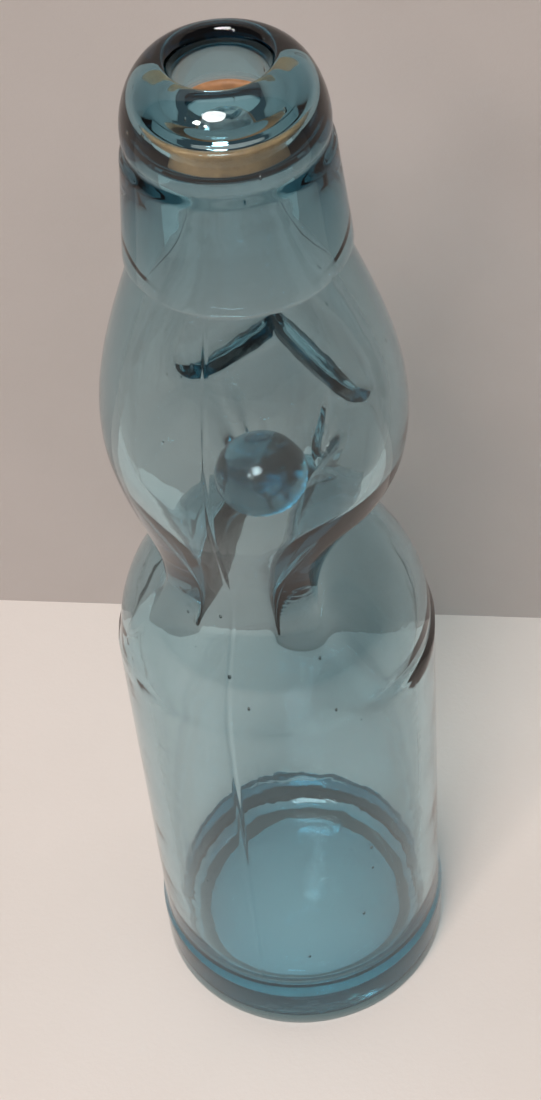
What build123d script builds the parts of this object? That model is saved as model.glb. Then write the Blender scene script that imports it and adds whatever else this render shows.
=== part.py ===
from build123d import *
from math import cos, radians, sin, sqrt
import os

# Marble stopper bottle in aqua glass. Millimetres, +Z up, origin at the centre of the foot.
# The front lobe of the waist faces -Y, the two pinches face -X and +X, and the two lugs are at the back.

# Foot and base: the foot stands a little proud of the body
foot_proud = 0.7
foot_round = 3.0
foot_height = 13.2
foot_step_height = 3.0
stand_width = 5.2
kick_up_height = 3.6
floor_height = 10.5
floor_dome = 1.2
floor_corner = 7.0

# Body: a straight side under a shoulder that is half a ball
body_radius = 30.5
body_wall = 3.6
side_length = 84.1

# Waist, chamber and neck, each rise counted from the stretch below
waist_rise = 26.7
waist_radius = 21.8
waist_wall = 3.9
waist_round = 3.5
chamber_rise = 28.5
chamber_radius = 26.6
chamber_wall = 3.6
neck_rise = 35.5
neck_radius = 17.3
neck_slope_share = 0.36

# Pinches, each pressed by a round tool with its nose below the waist, that carry the marble
pinch_drop = 4.5
pinch_tool_radius = 22.0
pinch_wall = 4.0
passage_width = 8.0
pinch_edge_round = 2.5

# Lugs, each a slanting groove pressed into the back of the chamber
lug_tool_radius = 5.2
lug_depth = 3.6
lug_wall = 3.2
lug_top_rise = 4.5
lug_low_drop = 4.0
lug_top_angle = 11.0
lug_low_angle = 38.0

# Inside of the neck and the seal's groove, counted down from the lip
throat_radius = 13.4
throat_drop = 2.0
bore_radius = 9.7
bore_length = 9.4
groove_height = 4.4
groove_radius = 10.9
mouth_radius = 7.4
mouth_length = 5.9
mouth_flare_height = 2.9

# Applied lip: tapered collar, a line pressed round it, and a domed top
collar_radius = 18.6
collar_round = 0.9
collar_length = 18.6
collar_top_radius = 16.8
line_radius = 15.8
line_width = 4.4
line_low_share = 0.6
crown_radius = 16.2
crown_height = 11.6
crest_radius = 9.0

# Sealing ring and marble
ring_inner_radius = 6.9
ring_height = 4.2
ring_side_clearance = 0.15
ring_round = 0.6
marble_radius = 8.5
marble_clearance = 0.3

# One overrun for all cuts, the distance that counts as touching, and the file folder
overrun = 5.0
touch_tolerance = 0.001
folder = "parts"

# Places that follow from the sizes above
foot_radius = body_radius + foot_proud
stand_outer_radius = foot_radius - foot_round
stand_inner_radius = stand_outer_radius - stand_width
body_start = foot_height + foot_step_height
shoulder_height = body_start + side_length
waist_height = shoulder_height + waist_rise
chamber_height = waist_height + chamber_rise
neck_height = chamber_height + neck_rise
collar_top = neck_height + collar_length
crown_start = collar_top + line_width
lip_height = crown_start + crown_height
throat_height = neck_height - throat_drop
flare_start = lip_height - mouth_flare_height
groove_end = flare_start - mouth_length
groove_start = groove_end - groove_height
bore_start = groove_start - bore_length
body_bore_radius = body_radius - body_wall
waist_bore_radius = waist_radius - waist_wall
chamber_bore_radius = chamber_radius - chamber_wall
pinch_height = waist_height - pinch_drop
pinch_centre = passage_width / 2 + pinch_wall + pinch_tool_radius


def turned(edges):
    """Solid turned about the bottle's axis from the edges of half a section, with its seam in front."""
    return Rot(0, 0, -90) * revolve(Plane.XZ * make_face(edges), Axis.Z)


def foot_edges():
    """Underside with its kick-up, stand ring and rounded foot, up to the body."""
    return [
        TangentArc((0, kick_up_height), (stand_inner_radius, 0), tangent=(1, 0)),
        Line((stand_inner_radius, 0), (stand_outer_radius, 0)),
        TangentArc((stand_outer_radius, 0), (foot_radius, foot_round), tangent=(1, 0)),
        Line((foot_radius, foot_round), (foot_radius, foot_height)),
        Spline(
            (foot_radius, foot_height),
            (body_radius, body_start),
            tangents=((0, 1), (0, 1)),
        ),
    ]


def outer_body():
    """Outside of the body, from the kick-up to the top of its ball-shaped shoulder."""
    return turned(
        foot_edges()
        + [
            Line((body_radius, body_start), (body_radius, shoulder_height)),
            TangentArc((body_radius, shoulder_height), (0, shoulder_height + body_radius), tangent=(0, 1)),
            Line((0, shoulder_height + body_radius), (0, kick_up_height)),
        ]
    )


def outer_waist():
    """Outside of the waist, chamber and neck, which stand on the shoulder, before they are pinched."""
    return turned(
        [
            Line((0, shoulder_height), (waist_radius, shoulder_height)),
            Line((waist_radius, shoulder_height), (waist_radius, waist_height)),
            Spline(
                (waist_radius, waist_height),
                (chamber_radius, chamber_height),
                tangents=((0, 1), (0, 1)),
            ),
            Spline(
                (chamber_radius, chamber_height),
                (neck_radius, neck_height),
                tangents=((0, 1), (-neck_slope_share, 1)),
            ),
            Line((neck_radius, neck_height), (0, neck_height)),
            Line((0, neck_height), (0, shoulder_height)),
        ]
    )


def body_cavity():
    """Inside of the body, from the floor to the top of the shoulder."""
    floor_radius = body_bore_radius - floor_corner
    corner_height = floor_height + floor_corner
    return turned(
        [
            TangentArc((0, floor_height + floor_dome), (floor_radius, floor_height), tangent=(1, 0)),
            TangentArc((floor_radius, floor_height), (body_bore_radius, corner_height), tangent=(1, 0)),
            Line((body_bore_radius, corner_height), (body_bore_radius, shoulder_height)),
            TangentArc(
                (body_bore_radius, shoulder_height),
                (0, shoulder_height + body_bore_radius),
                tangent=(0, 1),
            ),
            Line((0, shoulder_height + body_bore_radius), (0, floor_height + floor_dome)),
        ]
    )


def waist_cavity():
    """Inside of the waist, chamber, neck and mouth, before it is pinched."""
    top = lip_height + overrun
    return turned(
        [
            Line((0, shoulder_height), (waist_bore_radius, shoulder_height)),
            Line((waist_bore_radius, shoulder_height), (waist_bore_radius, waist_height)),
            Spline(
                (waist_bore_radius, waist_height),
                (chamber_bore_radius, chamber_height),
                tangents=((0, 1), (0, 1)),
            ),
            Spline(
                (chamber_bore_radius, chamber_height),
                (throat_radius, throat_height),
                tangents=((0, 1), (-neck_slope_share, 1)),
            ),
            Spline(
                (throat_radius, throat_height),
                (bore_radius, bore_start),
                tangents=((-neck_slope_share, 1), (0, 1)),
            ),
            Line((bore_radius, bore_start), (bore_radius, groove_start)),
            Line((bore_radius, groove_start), (groove_radius, groove_start)),
            Line((groove_radius, groove_start), (groove_radius, groove_end)),
            Line((groove_radius, groove_end), (mouth_radius, groove_end)),
            Line((mouth_radius, groove_end), (mouth_radius, flare_start)),
            TangentArc((mouth_radius, flare_start), (crest_radius, lip_height), tangent=(0, 1)),
            Line((crest_radius, lip_height), (crest_radius, top)),
            Line((crest_radius, top), (0, top)),
            Line((0, top), (0, shoulder_height)),
        ]
    )


def outer_pinches():
    """The pair of balls that pinch the waist from outside, their poles turned away from the glass."""
    right = Pos(pinch_centre, 0, pinch_height) * Rot(90, 0, 0) * Sphere(pinch_tool_radius)
    return [right, Rot(0, 0, 180) * right]


def inner_pinches():
    """The pair of straight rollers that leave the passage between the pinches."""
    roller = Cylinder(pinch_tool_radius + pinch_wall, body_radius * 2)
    right = Pos(pinch_centre, 0, pinch_height) * Rot(90, 0, 0) * roller
    return [right, Rot(0, 0, 180) * right]


def lug_point(side, angle, height):
    """A point on a lug tool's axis, behind the chamber's wall by the depth of the groove."""
    reach = chamber_radius - lug_depth + lug_tool_radius
    return Vector(side * reach * sin(radians(angle)), reach * cos(radians(angle)), height)


def lugs(radius):
    """The pair of slanting round-ended tools that press the lugs, or the glass round them."""
    tools = []
    for side in (-1, 1):
        top = lug_point(side, lug_top_angle, chamber_height + lug_top_rise)
        low = lug_point(side, lug_low_angle, chamber_height - lug_low_drop)
        along = low - top
        middle = Cylinder(radius, along.length, align=(Align.CENTER, Align.CENTER, Align.MIN))
        rod = Plane(origin=top, z_dir=along) * middle
        tools.append(rod + Pos(*top) * Sphere(radius) + Pos(*low) * Sphere(radius))
    return tools


def rims(solid, tools):
    """Edges of a solid that lie on one of the tools pressed into it."""
    return solid.edges().filter_by(
        lambda edge: any(
            all(tool.distance_to(edge @ share) < touch_tolerance for share in (0, 1 / 2, 1))
            for tool in tools
        )
    )


def pressed(solid, tools, rounding):
    """Solid with tools pressed into it and the rims of the hollows rounded."""
    hollowed = solid - tools
    return hollowed.fillet(rounding, rims(hollowed, tools))


def stood_on(body, waist, shoulder_radius):
    """Body and pinched waist as one solid, with the valley between them rounded."""
    shoulder = Pos(0, 0, shoulder_height) * Sphere(shoulder_radius)
    joined = body + waist
    valley = rims(joined, [shoulder]).filter_by(
        lambda edge: edge.bounding_box().min.Z > shoulder_height + touch_tolerance
    )
    return joined.fillet(waist_round, valley)


def bottle_body():
    """Blown bottle with its pinched waist and its lugs, open at the neck."""
    waist = pressed(outer_waist(), outer_pinches(), pinch_edge_round)
    outside = stood_on(outer_body(), waist, body_radius) - lugs(lug_tool_radius)
    passage = pressed(waist_cavity(), inner_pinches(), pinch_edge_round)
    inside = stood_on(body_cavity(), passage, body_bore_radius) - lugs(lug_tool_radius + lug_wall)
    return outside - inside


def applied_lip():
    """Collar and domed mouth, put on the neck once the marble is inside."""
    outside = turned(
        [
            Line((0, neck_height), (collar_radius - collar_round, neck_height)),
            TangentArc(
                (collar_radius - collar_round, neck_height),
                (collar_radius, neck_height + collar_round),
                tangent=(1, 0),
            ),
            Line((collar_radius, neck_height + collar_round), (collar_top_radius, collar_top)),
            Spline(
                (collar_top_radius, collar_top),
                (line_radius, collar_top + line_width * line_low_share),
                (crown_radius, crown_start),
            ),
            Spline(
                (crown_radius, crown_start),
                (crest_radius, lip_height),
                tangents=((0, 1), (-1, 0)),
            ),
            Line((crest_radius, lip_height), (0, lip_height)),
            Line((0, lip_height), (0, neck_height)),
        ]
    )
    return outside - waist_cavity()


def sealing_ring():
    """Rubber ring that lies in the lip's groove and that the marble presses against."""
    outer_radius = groove_radius - ring_side_clearance
    section = Pos((ring_inner_radius + outer_radius) / 2, groove_start + ring_height / 2) * (
        RectangleRounded(outer_radius - ring_inner_radius, ring_height, ring_round)
    )
    return revolve(Plane.XZ * section, Axis.Z)


def marble_rest_height():
    """Height of the marble's centre where it lies on the two pinches."""
    reach = pinch_tool_radius + pinch_wall + marble_radius + marble_clearance
    return pinch_height + sqrt(reach**2 - pinch_centre**2)


def marble_sealed_height():
    """Height of the marble's centre just under the sealing ring's rounded edge."""
    reach = marble_radius + ring_round + marble_clearance
    edge_radius = ring_inner_radius + ring_round
    return groove_start + ring_round - sqrt(reach**2 - edge_radius**2)


def marble():
    """Glass ball, free inside the chamber."""
    return Pos(0, 0, marble_rest_height()) * Sphere(marble_radius)


os.makedirs(folder, exist_ok=True)
pieces = {
    "bottle_body": bottle_body(),
    "applied_lip": applied_lip(),
    "sealing_ring": sealing_ring(),
    "marble": marble(),
}
for name, shape in pieces.items():
    export_step(shape, f"{folder}/{name}.step")

print("marble travel", round(marble_sealed_height() - marble_rest_height(), 2))
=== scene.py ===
import math
import random

import bmesh
import bpy
from mathutils import Matrix, Vector, noise


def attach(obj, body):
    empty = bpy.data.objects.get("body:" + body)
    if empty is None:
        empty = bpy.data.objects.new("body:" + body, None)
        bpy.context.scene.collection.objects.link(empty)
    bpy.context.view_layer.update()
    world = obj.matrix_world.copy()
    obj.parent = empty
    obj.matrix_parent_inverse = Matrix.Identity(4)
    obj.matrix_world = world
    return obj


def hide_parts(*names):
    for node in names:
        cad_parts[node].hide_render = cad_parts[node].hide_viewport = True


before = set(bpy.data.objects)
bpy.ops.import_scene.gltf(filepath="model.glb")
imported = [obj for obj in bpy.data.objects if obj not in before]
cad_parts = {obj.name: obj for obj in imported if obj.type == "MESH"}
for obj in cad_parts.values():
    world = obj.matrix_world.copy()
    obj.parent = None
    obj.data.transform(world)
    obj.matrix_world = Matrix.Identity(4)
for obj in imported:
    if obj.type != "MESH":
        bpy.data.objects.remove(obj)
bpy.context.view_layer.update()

MM = 0.001

# Heights and radii of the glass, in millimetres, from the foot up
FOOT_RADIUS = 31.2
FOOT_ROUND = 3.0
FOOT_HEIGHT = 13.2
STEP_HEIGHT = 3.0
STAND_INNER = 23.0
KICK_UP = 3.6
FLOOR_HEIGHT = 10.5
FLOOR_DOME = 1.2
FLOOR_CORNER = 7.0
BODY_RADIUS = 30.5
WALL = 3.6
SHOULDER = 100.3
INNER_SHOULDER_RISE = 25.0
COLUMN_LOW = 116.0
INNER_COLUMN_LOW = 113.0
WAIST_HEIGHT = 127.0
WAIST_RADIUS = 21.8
WAIST_WALL = 3.9
CHAMBER_HEIGHT = 155.5
CHAMBER_RADIUS = 26.6
NECK_HEIGHT = 191.0
NECK_RADIUS = 17.3
NECK_SLOPE = (-0.34, 0.94)

# The applied lip and the bore inside it
THROAT_RADIUS = 13.4
THROAT_HEIGHT = 189.0
BORE_RADIUS = 9.7
BORE_START = 203.0
GROOVE_START = 212.4
GROOVE_HEIGHT = 4.4
GROOVE_RADIUS = 10.9
MOUTH_RADIUS = 7.4
FLARE = 2.9
COLLAR_RADIUS = 18.6
COLLAR_ROUND = 0.9
COLLAR_TOP = 209.6
COLLAR_TOP_RADIUS = 16.8
LINE_RADIUS = 15.8
LINE_HEIGHT = 212.2
DOME_START = 214.0
DOME_RADIUS = 16.2
LIP_HEIGHT = 225.6
CREST_RADIUS = 9.0

# The pinches: side, radius in plan and how far back the middle of each lies
PINCH_HEIGHT = 122.5
PINCH_TOP = 160.0
PINCH_TOOL = 22.0
PINCH_NOSE = 8.0
PINCH_WALL = 4.0
INNER_PLAN = 60.0
PINCHES = ((-1, 26.0, 3.0), (1, 40.0, 6.0))
PINCH_ROUND = 3.0
INNER_PINCH_ROUND = 1.5
PINCH_FADE = 0.5
PAST_ARC = 3.0
VALLEY_ROUND = 6.0

# Grooves pressed into the back: side, tool radius, then turn, height and depth at both ends
LUG_WALL = 3.6
RIM_SOFT = 1.0
RIM_REACH = 4.0 * RIM_SOFT
GROOVES_LOW = PINCH_HEIGHT - PINCH_ROUND
GROOVES_HIGH = CHAMBER_HEIGHT + PINCH_TOOL
LUGS = (
    (-1, 8.0, (18.0, 160.0, 4.2), (42.0, 154.5, 4.2)),
    (1, 8.0, (2.0, 162.0, 4.2), (31.0, 152.0, 4.2)),
)
CREASES = (
    (-1, 2.8, (36.0, 146.0, 0.0), (35.0, 124.0, 4.6)),
    (1, 2.8, (22.0, 146.0, 0.0), (24.0, 124.0, 4.6)),
)

# Small faults of blown glass
SEAM_HEIGHT = 0.10
SEAM_HALF_WIDTH = 0.35
SEAM_LOW = 17.0
WAVE_DEPTH = 0.10
WAVE_LENGTH = 20.0
WAVES_LOW = 0.9
SEEDS = 70
SEED_DRAW = 7
SEED_RADII = (0.10, 0.34)
SEED_DEPTH = (0.9, 2.6)
SEED_STRETCH = 1.7

# Ring and marble
RING_INNER = 6.9
RING_OUTER = 10.75
RING_HEIGHT = 4.2
RING_ROUND = 0.6
MARBLE_RADIUS = 8.5
MARBLE_HEIGHT = 140.14

# Steps of a full spin, and the distances within which points are cut or merged
STEPS = 196
CUT = 0.001
MERGE = 0.01

# Glass, and the density, lowest roughness and wear of the bottle's and the marble's
AQUA = (0.15, 0.52, 0.61)
SHADOW_CLEARING = (0.99, 0.90, 0.88)
GLASS_IOR = 1.5
BOTTLE_GLASS = (116.0, 0.0, 0.12)
MARBLE_GLASS = (160.0, 0.1, 0.3)

# Fine relief of the finishes, in millimetres, and the scale and turn of each set of scratches
GLASS_WAVES = 0.6
RUBBER_PITS = 0.3
PLASTER_GRAIN = 0.2
SCRATCHES = ((420.0, (0.3, 0.1, 0)), (350.0, (-0.5, 0.9, 0)))
RUBBER_COLOURS = ((0.25, 0.115, 0.05), (0.40, 0.185, 0.08))

# Camera, from the circles and straight sides of the bottle in the photograph, in degrees and millimetres
CAMERA_TURN = 20.5
CAMERA_BACK = 253.1
CAMERA_UP = 387.9
CAMERA_DOWNWARD = 46.67
CAMERA_YAW = 0.06
CAMERA_ROLL = -5.78
FOCAL_PIXELS = 1991
FRAME_WIDTH = 541
FRAME_HEIGHT = 1100
WALL_LEFT_PIXEL = (0, 600)
WALL_RIGHT_PIXEL = (541, 618)

# Lamps: the place that all point at, then the place from the camera's side, size, power and colour of each
LAMP_AIM = (0, 0, 0.1)
SOFTBOX = ((-0.30, -0.95, 1.55), 0.7, 27.0, (1.0, 0.99, 0.98))
SPOT = ((-0.7, -0.9, 1.1), 0.2, 4.5, (1.0, 0.99, 0.97))
WARM_SPOT = ((-0.5, -1.05, 1.0), 0.09, 0.6, (1.0, 0.86, 0.66))

# The room: the world's light, then the floor and the wall
ROOM_COLOUR = (0.30, 0.30, 0.31, 1)
ROOM_STRENGTH = 0.4
FLOOR_COLOURS = ((0.66, 0.595, 0.55), (0.70, 0.63, 0.585))
WALL_COLOURS = ((0.41, 0.36, 0.335), (0.45, 0.395, 0.37))
FLOOR_ROUGHNESS = 0.75
WALL_ROUGHNESS = 0.8
ROOM_SIZE = 2.0

# Directions in a section, as steps outwards and upwards
UP, DOWN, OUT, IN = (0, 1), (0, -1), (1, 0), (-1, 0)

front = Matrix.Rotation(math.radians(CAMERA_TURN), 4, "Z")


def straight(a, b, count):
    """Points along a straight stretch of the section, without its first."""
    return [tuple(p + (q - p) * i / count for p, q in zip(a, b)) for i in range(1, count + 1)]


def bend(a, b, leave, arrive, count):
    """Points along a smooth stretch that leaves and arrives in the given directions, without its first."""
    chord = math.dist(a, b)
    points = []
    for i in range(1, count + 1):
        t = i / count
        h = (2 * t**3 - 3 * t**2 + 1, t**3 - 2 * t**2 + t, 3 * t**2 - 2 * t**3, t**3 - t**2)
        ends = zip(a, leave, b, arrive)
        points.append(tuple(h[0] * p + h[1] * chord * u + h[2] * q + h[3] * chord * v for p, u, q, v in ends))
    return points


def shoulder_arc(radius, rise, top, count):
    """Points up the shoulder's dome to a height, without its first, and the dome's slope there."""
    last = math.asin((top - SHOULDER) / rise)
    turns = [last * i / count for i in range(1, count + 1)]
    slope = Vector((-radius * math.sin(last), rise * math.cos(last))).normalized()
    return [(radius * math.cos(turn), SHOULDER + rise * math.sin(turn)) for turn in turns], slope


def outside_section():
    """Section of the outside, from the middle of the kick-up to the lip's crest."""
    points = [(0, KICK_UP)]
    points += bend(points[-1], (STAND_INNER, 0), OUT, (0.97, -0.25), 16)
    points += straight(points[-1], (FOOT_RADIUS - FOOT_ROUND, 0), 4)
    points += bend(points[-1], (FOOT_RADIUS, FOOT_ROUND), OUT, UP, 8)
    points += straight(points[-1], (FOOT_RADIUS, FOOT_HEIGHT), 6)
    points += bend(points[-1], (BODY_RADIUS, FOOT_HEIGHT + STEP_HEIGHT), UP, UP, 6)
    points += straight(points[-1], (BODY_RADIUS, SHOULDER), 24)
    arc, slope = shoulder_arc(BODY_RADIUS, BODY_RADIUS, COLUMN_LOW, 24)
    points += arc
    points += bend(points[-1], (WAIST_RADIUS, WAIST_HEIGHT), slope, UP, 26)
    points += bend(points[-1], (CHAMBER_RADIUS, CHAMBER_HEIGHT), UP, UP, 50)
    points += bend(points[-1], (NECK_RADIUS, NECK_HEIGHT), UP, NECK_SLOPE, 36)
    points += bend(points[-1], (COLLAR_RADIUS, NECK_HEIGHT + COLLAR_ROUND), (1, -0.4), UP, 8)
    points += straight(points[-1], (COLLAR_TOP_RADIUS, COLLAR_TOP), 12)
    points += bend(points[-1], (LINE_RADIUS, LINE_HEIGHT), (-0.1, 1), (-0.3, 1), 5)
    points += bend(points[-1], (DOME_RADIUS, DOME_START), (0.5, 1), UP, 4)
    points += bend(points[-1], (CREST_RADIUS, LIP_HEIGHT), UP, IN, 20)
    return points


def inside_section():
    """Section of the inside, from the lip's crest down to the middle of the floor."""
    bore = BODY_RADIUS - WALL
    back = (-NECK_SLOPE[0], -NECK_SLOPE[1])
    points = bend((CREST_RADIUS, LIP_HEIGHT), (MOUTH_RADIUS, LIP_HEIGHT - FLARE), IN, DOWN, 8)
    points += straight(points[-1], (MOUTH_RADIUS, GROOVE_START + GROOVE_HEIGHT), 5)
    points += straight(points[-1], (GROOVE_RADIUS, GROOVE_START + GROOVE_HEIGHT), 3)
    points += straight(points[-1], (GROOVE_RADIUS, GROOVE_START), 4)
    points += straight(points[-1], (BORE_RADIUS, GROOVE_START), 2)
    points += straight(points[-1], (BORE_RADIUS, BORE_START), 8)
    points += bend(points[-1], (THROAT_RADIUS, THROAT_HEIGHT), DOWN, back, 12)
    points += bend(points[-1], (CHAMBER_RADIUS - WALL, CHAMBER_HEIGHT), back, DOWN, 36)
    points += bend(points[-1], (WAIST_RADIUS - WAIST_WALL, WAIST_HEIGHT), DOWN, DOWN, 50)
    arc, slope = shoulder_arc(bore, INNER_SHOULDER_RISE, INNER_COLUMN_LOW, 24)
    points += bend(points[-1], arc[-1], DOWN, -slope, 26)
    points += reversed([(bore, SHOULDER)] + arc[:-1])
    points += straight(points[-1], (bore, FLOOR_HEIGHT + FLOOR_CORNER), 24)
    points += bend(points[-1], (bore - FLOOR_CORNER, FLOOR_HEIGHT), DOWN, IN, 12)
    points += bend(points[-1], (0, FLOOR_HEIGHT + FLOOR_DOME), IN, IN, 12)
    return points


def spun(bm, points):
    """Skin of a section turned about the bottle's axis, from the front round."""
    corners = [bm.verts.new((0, -r * MM, z * MM)) for r, z in points]
    edges = [bm.edges.new(pair) for pair in zip(corners, corners[1:])]
    bmesh.ops.spin(
        bm, geom=corners + edges, axis=(0, 0, 1), cent=(0, 0, 0), steps=STEPS, angle=math.tau, use_merge=True
    )


def least(a, b, blend):
    """The lesser of two numbers, rounded where they are within a blend of each other."""
    mix = max(0, 1 - abs(a - b) / blend)
    return min(a, b) - mix**2 * blend / 4


def arc_height(radius, away):
    """Height of a circle's arc at a distance from its middle, and a steep slope past its end."""
    return math.sqrt(max(0, radius**2 - away**2)) - PAST_ARC * max(0, abs(away) - radius)


def pinched(point, wall):
    """A point of a skin moved in to the pinch on its side, and not below the dome of the shoulder."""
    side, plan, back = PINCHES[point.x > 0]
    radius, dome_rise, blend = BODY_RADIUS, BODY_RADIUS, PINCH_ROUND
    if wall:
        plan, back = INNER_PLAN, 0.0
        radius, dome_rise, blend = BODY_RADIUS - WALL, INNER_SHOULDER_RISE, INNER_PINCH_ROUND
    rise = point.z - PINCH_HEIGHT
    nose = PINCH_NOSE + PINCH_TOOL - arc_height(PINCH_TOOL + wall, rise)
    inset = plan - arc_height(plan, point.y - back)
    room = radius**2 * (1 - ((point.z - SHOULDER) / dome_rise) ** 2) - point.y**2
    dome = math.copysign(math.sqrt(abs(room)), room)
    limit = -least(-nose - inset, -dome, VALLEY_ROUND)
    reach = least(abs(point.x), limit, blend + PINCH_FADE * max(0, rise))
    return Vector((side * reach, point.y, point.z))


def groove_end(side, tool, turn, height, depth):
    """The place of a groove's tool behind the outside of the chamber, at one end of the groove."""
    share = min(1, max(0, (height - WAIST_HEIGHT) / (CHAMBER_HEIGHT - WAIST_HEIGHT)))
    smooth = share**2 * (3 - 2 * share)
    reach = WAIST_RADIUS + (CHAMBER_RADIUS - WAIST_RADIUS) * smooth - depth + tool
    angle = math.radians(turn)
    return Vector((side * reach * math.sin(angle), reach * math.cos(angle), height))


def grooved(point, groove, wall):
    """A point moved off the round tool of a groove, with a soft rim."""
    side, tool, *ends = groove
    start, end = (groove_end(side, tool, *numbers) for numbers in ends)
    along = end - start
    share = min(1, max(0, (point - start).dot(along) / along.length_squared))
    away = point - start - along * share
    gap = away.length - tool - wall
    if gap > RIM_REACH:
        return point
    fade = 1 - max(0, gap / RIM_REACH) ** 2
    lift = (math.sqrt(gap**2 + RIM_SOFT**2) - gap) / 2 * fade
    return point + away.normalized() * lift


def press(verts, wall, groove_wall):
    """Presses the pinches and the grooves into a skin, or round them at a wall's distance."""
    for vert in verts:
        point = vert.co / MM
        if SHOULDER < point.z < PINCH_TOP:
            point = pinched(point, wall)
        if GROOVES_LOW < point.z < GROOVES_HIGH and point.y > BORE_RADIUS:
            for groove in LUGS + CREASES:
                point = grooved(point, groove, groove_wall)
        vert.co = point * MM


def seam(bm):
    """Raises the mould's seam on the front and back of the blown part."""
    for side in (-1, 1):
        bmesh.ops.bisect_plane(
            bm,
            geom=bm.verts[:] + bm.edges[:] + bm.faces[:],
            dist=CUT * MM,
            plane_co=(side * SEAM_HALF_WIDTH * MM, 0, 0),
            plane_no=(1, 0, 0),
        )
    for vert in bm.verts:
        on_seam = abs(vert.co.x) < SEAM_HALF_WIDTH * MM / 2
        if on_seam and SEAM_LOW < vert.co.z / MM < NECK_HEIGHT:
            vert.co.xy *= 1 + SEAM_HEIGHT * MM / vert.co.xy.length


def wavy(verts):
    """Moves a skin inwards by the slow unevenness of blown glass."""
    for vert in verts:
        radius = vert.co.xy.length
        if radius > BORE_RADIUS * MM and WAVES_LOW < vert.co.z / MM < COLLAR_TOP:
            depth = WAVE_DEPTH * (0.5 + 0.5 * noise.noise(vert.co / MM / WAVE_LENGTH))
            vert.co.xy *= 1 - depth * MM / radius


def seeds(bm):
    """Small bubbles left in the wall, drawn out upwards."""
    draw = random.Random(SEED_DRAW)
    outwards = [v for v in bm.verts if v.normal.xy.dot(v.co.xy) > BORE_RADIUS * MM]
    skin = [(v.co.copy(), v.normal.copy()) for v in outwards]
    # The operators leave the points in no fixed order, so they are sorted before the draw
    skin.sort(key=lambda place: [round(number / MM, 3) for number in place[0]])
    for spot, outward in draw.sample(skin, SEEDS):
        radius = draw.uniform(*SEED_RADII) * MM
        centre = spot - outward * draw.uniform(*SEED_DEPTH) * MM
        pose = Matrix.Translation(centre) @ Matrix.Diagonal((1, 1, SEED_STRETCH, 1))
        bubble = bmesh.ops.create_icosphere(bm, subdivisions=2, radius=radius, matrix=pose)
        faces = {face for vert in bubble["verts"] for face in vert.link_faces}
        bmesh.ops.reverse_faces(bm, faces=list(faces))


def mesh_object(name, bm, smooth=True):
    """A finished mesh as an object of the scene."""
    mesh = bpy.data.meshes.new(name)
    bm.to_mesh(mesh)
    bm.free()
    for face in mesh.polygons:
        face.use_smooth = smooth
    piece = bpy.data.objects.new(name, mesh)
    bpy.context.collection.objects.link(piece)
    return piece


def blown_glass():
    """Bottle and lip as one skin of glass: outside, mouth and cavity, with its seams and seeds."""
    bm = bmesh.new()
    outside = outside_section()
    spun(bm, outside)
    seam(bm)
    wavy(bm.verts)
    press(bm.verts, 0, 0)
    outer = set(bm.verts)
    spun(bm, outside[-1:] + inside_section())
    inner = [vert for vert in bm.verts if vert not in outer]
    wavy(inner)
    press(inner, PINCH_WALL, LUG_WALL)
    bmesh.ops.remove_doubles(bm, verts=bm.verts, dist=MERGE * MM)
    bmesh.ops.recalc_face_normals(bm, faces=bm.faces)
    bm.normal_update()
    seeds(bm)
    return mesh_object("blown_glass", bm)


def sealing_ring():
    """Rubber ring with rounded edges, lying in the lip's groove."""
    bm = bmesh.new()
    low, high = GROOVE_START, GROOVE_START + RING_HEIGHT
    points = [(RING_INNER + RING_ROUND, low)]
    points += straight(points[-1], (RING_OUTER - RING_ROUND, low), 6)
    points += bend(points[-1], (RING_OUTER, low + RING_ROUND), OUT, UP, 4)
    points += straight(points[-1], (RING_OUTER, high - RING_ROUND), 6)
    points += bend(points[-1], (RING_OUTER - RING_ROUND, high), UP, IN, 4)
    points += straight(points[-1], (RING_INNER + RING_ROUND, high), 6)
    points += bend(points[-1], (RING_INNER, high - RING_ROUND), IN, DOWN, 4)
    points += straight(points[-1], (RING_INNER, low + RING_ROUND), 6)
    points += bend(points[-1], points[0], DOWN, OUT, 4)
    spun(bm, points)
    bmesh.ops.remove_doubles(bm, verts=bm.verts, dist=MERGE * MM)
    bmesh.ops.recalc_face_normals(bm, faces=bm.faces)
    return mesh_object("seal_ring_rubber", bm)


def marble():
    """Solid ball of deeper glass, lying on the two pinches."""
    bm = bmesh.new()
    bmesh.ops.create_icosphere(
        bm, subdivisions=5, radius=MARBLE_RADIUS * MM, matrix=Matrix.Translation((0, 0, MARBLE_HEIGHT * MM))
    )
    return mesh_object("marble_ball", bm)


class Socket:
    """An output socket that numbers and other sockets can be added to or multiplied by."""

    def __init__(self, maker, link):
        self.maker, self.link = maker, link

    def maths(self, operation, *others):
        return self.maker.node("ShaderNodeMath", {"operation": operation}, dict(enumerate((self, *others))))

    def __add__(self, other):
        return self.maths("ADD", other)

    def __mul__(self, other):
        return self.maths("MULTIPLY", other)

    def above(self, low, high):
        """0 under the low value, 1 over the high one."""
        values = {"Value": self, "From Min": low, "From Max": high}
        return self.maker.node("ShaderNodeMapRange", {"interpolation_type": "SMOOTHSTEP"}, values)

    __radd__, __rmul__ = __add__, __mul__


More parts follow.
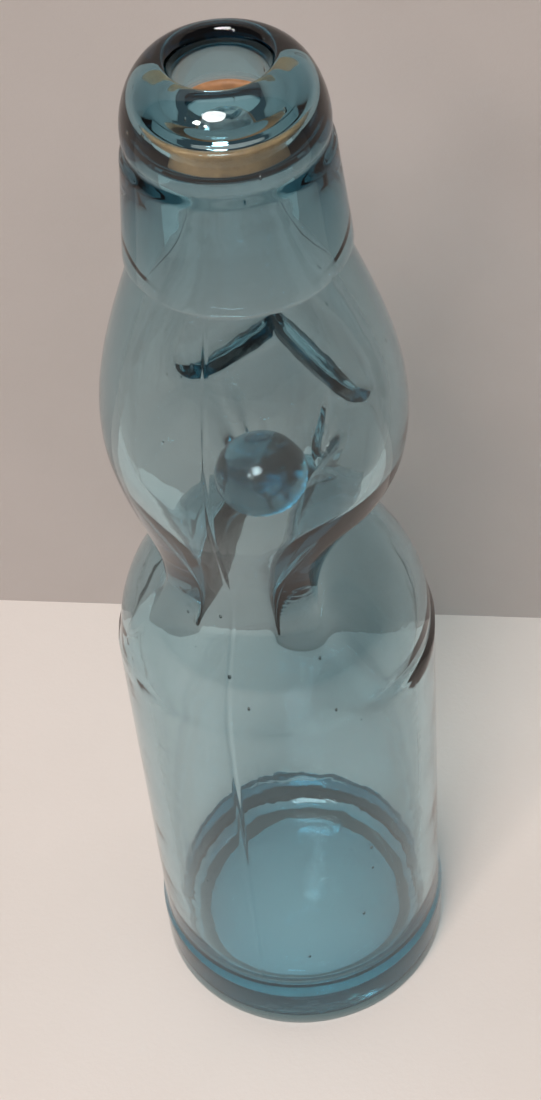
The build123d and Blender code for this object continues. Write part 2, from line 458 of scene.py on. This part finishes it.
class Finish:
    """A node material under construction."""

    def __init__(self, name):
        self.material = bpy.data.materials.new(name)
        self.material.use_nodes = True
        self.tree = self.material.node_tree
        self.shader = self.tree.nodes["Principled BSDF"]
        self.output = self.tree.nodes["Material Output"]
        self.place = self.node("ShaderNodeTexCoord", {}, {}, "Object")

    def node(self, kind, settings, values, output=0):
        """A node of a kind, with its settings first and then the values or links of its sockets."""
        made = self.tree.nodes.new(kind)
        for name, value in settings.items():
            setattr(made, name, value)
        for name, value in values.items():
            self.feed(made.inputs[name], value)
        return Socket(self, made.outputs[output])

    def feed(self, entry, value):
        if isinstance(value, Socket):
            self.tree.links.new(value.link, entry)
        else:
            entry.default_value = value

    def surface(self, **values):
        """Sets the shader's sockets, with underscores for the spaces of their names."""
        for name, value in values.items():
            self.feed(self.shader.inputs[name.replace("_", " ")], value)

    def grain(self, scale, detail=3.0, roughness=0.5, stretch=(1, 1, 1), turn=(0, 0, 0)):
        """Noise in the object's own space, drawn out along its axes."""
        moved = self.node("ShaderNodeMapping", {}, {"Vector": self.place, "Scale": stretch, "Rotation": turn})
        values = {"Vector": moved, "Scale": scale, "Detail": detail, "Roughness": roughness}
        return self.node("ShaderNodeTexNoise", {}, values)

    def colours(self, factor, first, second):
        """A colour between two, by a factor."""
        values = {0: factor, 6: (*first, 1), 7: (*second, 1)}
        return self.node("ShaderNodeMix", {"data_type": "RGBA"}, values, 2)

    def bumps(self, height, distance, strength):
        values = {"Height": height, "Distance": distance, "Strength": strength}
        return self.node("ShaderNodeBump", {}, values)

    def cleared(self, kind, output, colour):
        """Lets light straight through, tinted, where an output of a kind of node is 1."""
        where = self.node(kind, {}, {}, output)
        clear = self.node("ShaderNodeBsdfTransparent", {}, {"Color": (*colour, 1)})
        shader = Socket(self, self.shader.outputs[0])
        mixed = self.node("ShaderNodeMixShader", {}, {0: where, 1: shader, 2: clear})
        self.feed(self.output.inputs["Surface"], mixed)


def scratches(finish, scale, turn):
    """Thin broken lines, as rubbing leaves them."""
    lines = finish.grain(scale, 2.0, 0.6, (1, 1, 0.04), turn)
    patches = finish.grain(scale / 12, 2.0)
    return lines.above(0.66, 0.72) * patches.above(0.5, 0.62)


def glass_finish(name, density, polish, wear):
    """Clear glass that absorbs by its thickness and casts a lighter shadow, with slight waves and wear."""
    finish = Finish(name)
    broad, fine = finish.grain(55.0, 1.0), finish.grain(190.0, 2.0)
    waves = broad + fine * 0.25
    rubbed = scratches(finish, *SCRATCHES[0]) + scratches(finish, *SCRATCHES[1])
    finish.surface(
        Base_Color=(1, 1, 1, 1),
        IOR=GLASS_IOR,
        Transmission_Weight=1.0,
        Roughness=finish.grain(30.0) * 0.02 + rubbed * wear + polish,
        Normal=finish.bumps(waves + rubbed * -0.04, GLASS_WAVES * MM, 0.15),
    )
    volume = finish.node("ShaderNodeVolumeAbsorption", {}, {"Color": (*AQUA, 1), "Density": density})
    finish.feed(finish.output.inputs["Volume"], volume)
    finish.cleared("ShaderNodeLightPath", "Is Shadow Ray", SHADOW_CLEARING)
    return finish.material


def rubber_finish():
    """Old orange-tan rubber, mottled and dull."""
    finish = Finish("seal_rubber")
    mottle = finish.grain(260.0, 5.0, 0.6)
    finish.surface(
        Base_Color=finish.colours(mottle.above(0.35, 0.65), *RUBBER_COLOURS),
        Roughness=mottle * 0.25 + 0.5,
        Normal=finish.bumps(mottle, RUBBER_PITS * MM, 0.6),
    )
    return finish.material


def plaster_finish(name, first, second, roughness):
    """Plain painted surface with faint cloudiness and a fine grain."""
    finish = Finish(name)
    cloud = finish.grain(9.0, 4.0)
    finish.surface(
        Base_Color=finish.colours(cloud.above(0.3, 0.7), first, second),
        Roughness=finish.grain(60.0) * 0.1 + roughness,
        Normal=finish.bumps(finish.grain(900.0, 3.0), PLASTER_GRAIN * MM, 0.25),
    )
    return finish


def place_camera():
    """Camera at the photograph's viewing angle."""
    down, yaw, roll = (math.radians(a) for a in (CAMERA_DOWNWARD, CAMERA_YAW, CAMERA_ROLL))
    look = Vector((math.sin(yaw) * math.cos(down), math.cos(yaw) * math.cos(down), -math.sin(down)))
    right = look.cross(Vector((0, 0, 1))).normalized()
    up = right.cross(look)
    tilted = right * math.cos(roll) + up * math.sin(roll)
    upright = up * math.cos(roll) - right * math.sin(roll)
    pose = Matrix((tilted, upright, -look)).transposed().to_4x4()
    pose.translation = Vector((0, -CAMERA_BACK, CAMERA_UP)) * MM
    lens = bpy.data.cameras.new("camera")
    lens.sensor_width = 36
    lens.lens = FOCAL_PIXELS / FRAME_HEIGHT * lens.sensor_width
    lens.clip_start = 0.01
    camera = bpy.data.objects.new("camera", lens)
    bpy.context.collection.objects.link(camera)
    camera.matrix_world = front @ pose
    bpy.context.scene.camera = camera
    return camera.matrix_world.copy()


def floor_point(pose, pixel):
    """The point of the floor that a pixel of the photograph shows."""
    way = pose.to_3x3() @ Vector((pixel[0] - FRAME_WIDTH / 2, FRAME_HEIGHT / 2 - pixel[1], -FOCAL_PIXELS))
    return pose.translation - way * (pose.translation.z / way.z)


def stage_plane(name, pose, finish):
    """A flat surface of the room."""
    bm = bmesh.new()
    bmesh.ops.create_grid(bm, x_segments=1, y_segments=1, size=ROOM_SIZE)
    piece = mesh_object(name, bm, smooth=False)
    piece.data.materials.append(finish.material)
    piece.matrix_world = pose


def lamp(name, place, size, power, colour):
    """A round soft lamp that points at the bottle, placed as seen from the camera's side."""
    light = bpy.data.lights.new(name, "AREA")
    light.shape = "DISK"
    light.size, light.energy, light.color = size, power, colour
    piece = bpy.data.objects.new(name, light)
    bpy.context.collection.objects.link(piece)
    piece.location = front @ Vector(place)
    piece.rotation_euler = (front @ Vector(LAMP_AIM) - piece.location).to_track_quat("-Z", "Y").to_euler()


def room(pose):
    """Floor, wall, lamps and the dim light of the room."""
    foot = [floor_point(pose, pixel) for pixel in (WALL_LEFT_PIXEL, WALL_RIGHT_PIXEL)]
    middle, along = (foot[0] + foot[1]) / 2, (foot[1] - foot[0]).normalized()
    out = along.cross(Vector((0, 0, 1)))
    upright = Matrix((along, Vector((0, 0, 1)), out)).transposed().to_4x4()
    upright.translation = middle
    stage_plane("floor", Matrix(), plaster_finish("floor_paint", *FLOOR_COLOURS, FLOOR_ROUGHNESS))
    wall_paint = plaster_finish("wall_paint", *WALL_COLOURS, WALL_ROUGHNESS)
    # The wall stands close behind the bottle, so from its other side it is see-through
    wall_paint.cleared("ShaderNodeNewGeometry", "Backfacing", (1, 1, 1))
    stage_plane("wall", upright, wall_paint)
    lamp("softbox", *SOFTBOX)
    lamp("spot", *SPOT)
    lamp("warm_spot", *WARM_SPOT)
    world = bpy.data.worlds.new("room")
    bpy.context.scene.world = world
    world.use_nodes = True
    world.node_tree.nodes["Background"].inputs["Color"].default_value = ROOM_COLOUR
    world.node_tree.nodes["Background"].inputs["Strength"].default_value = ROOM_STRENGTH


room(place_camera())

glass = blown_glass()
glass.data.materials.append(glass_finish("aqua_glass", *BOTTLE_GLASS))
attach(glass, "bottle")
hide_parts("bottle_body", "applied_lip")

ring = sealing_ring()
ring.data.materials.append(rubber_finish())
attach(ring, "bottle")
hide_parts("sealing_ring")

ball = marble()
ball.data.materials.append(glass_finish("marble_glass", *MARBLE_GLASS))
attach(ball, "marble")
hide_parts("marble")

bpy.context.scene.view_settings.view_transform = "Standard"
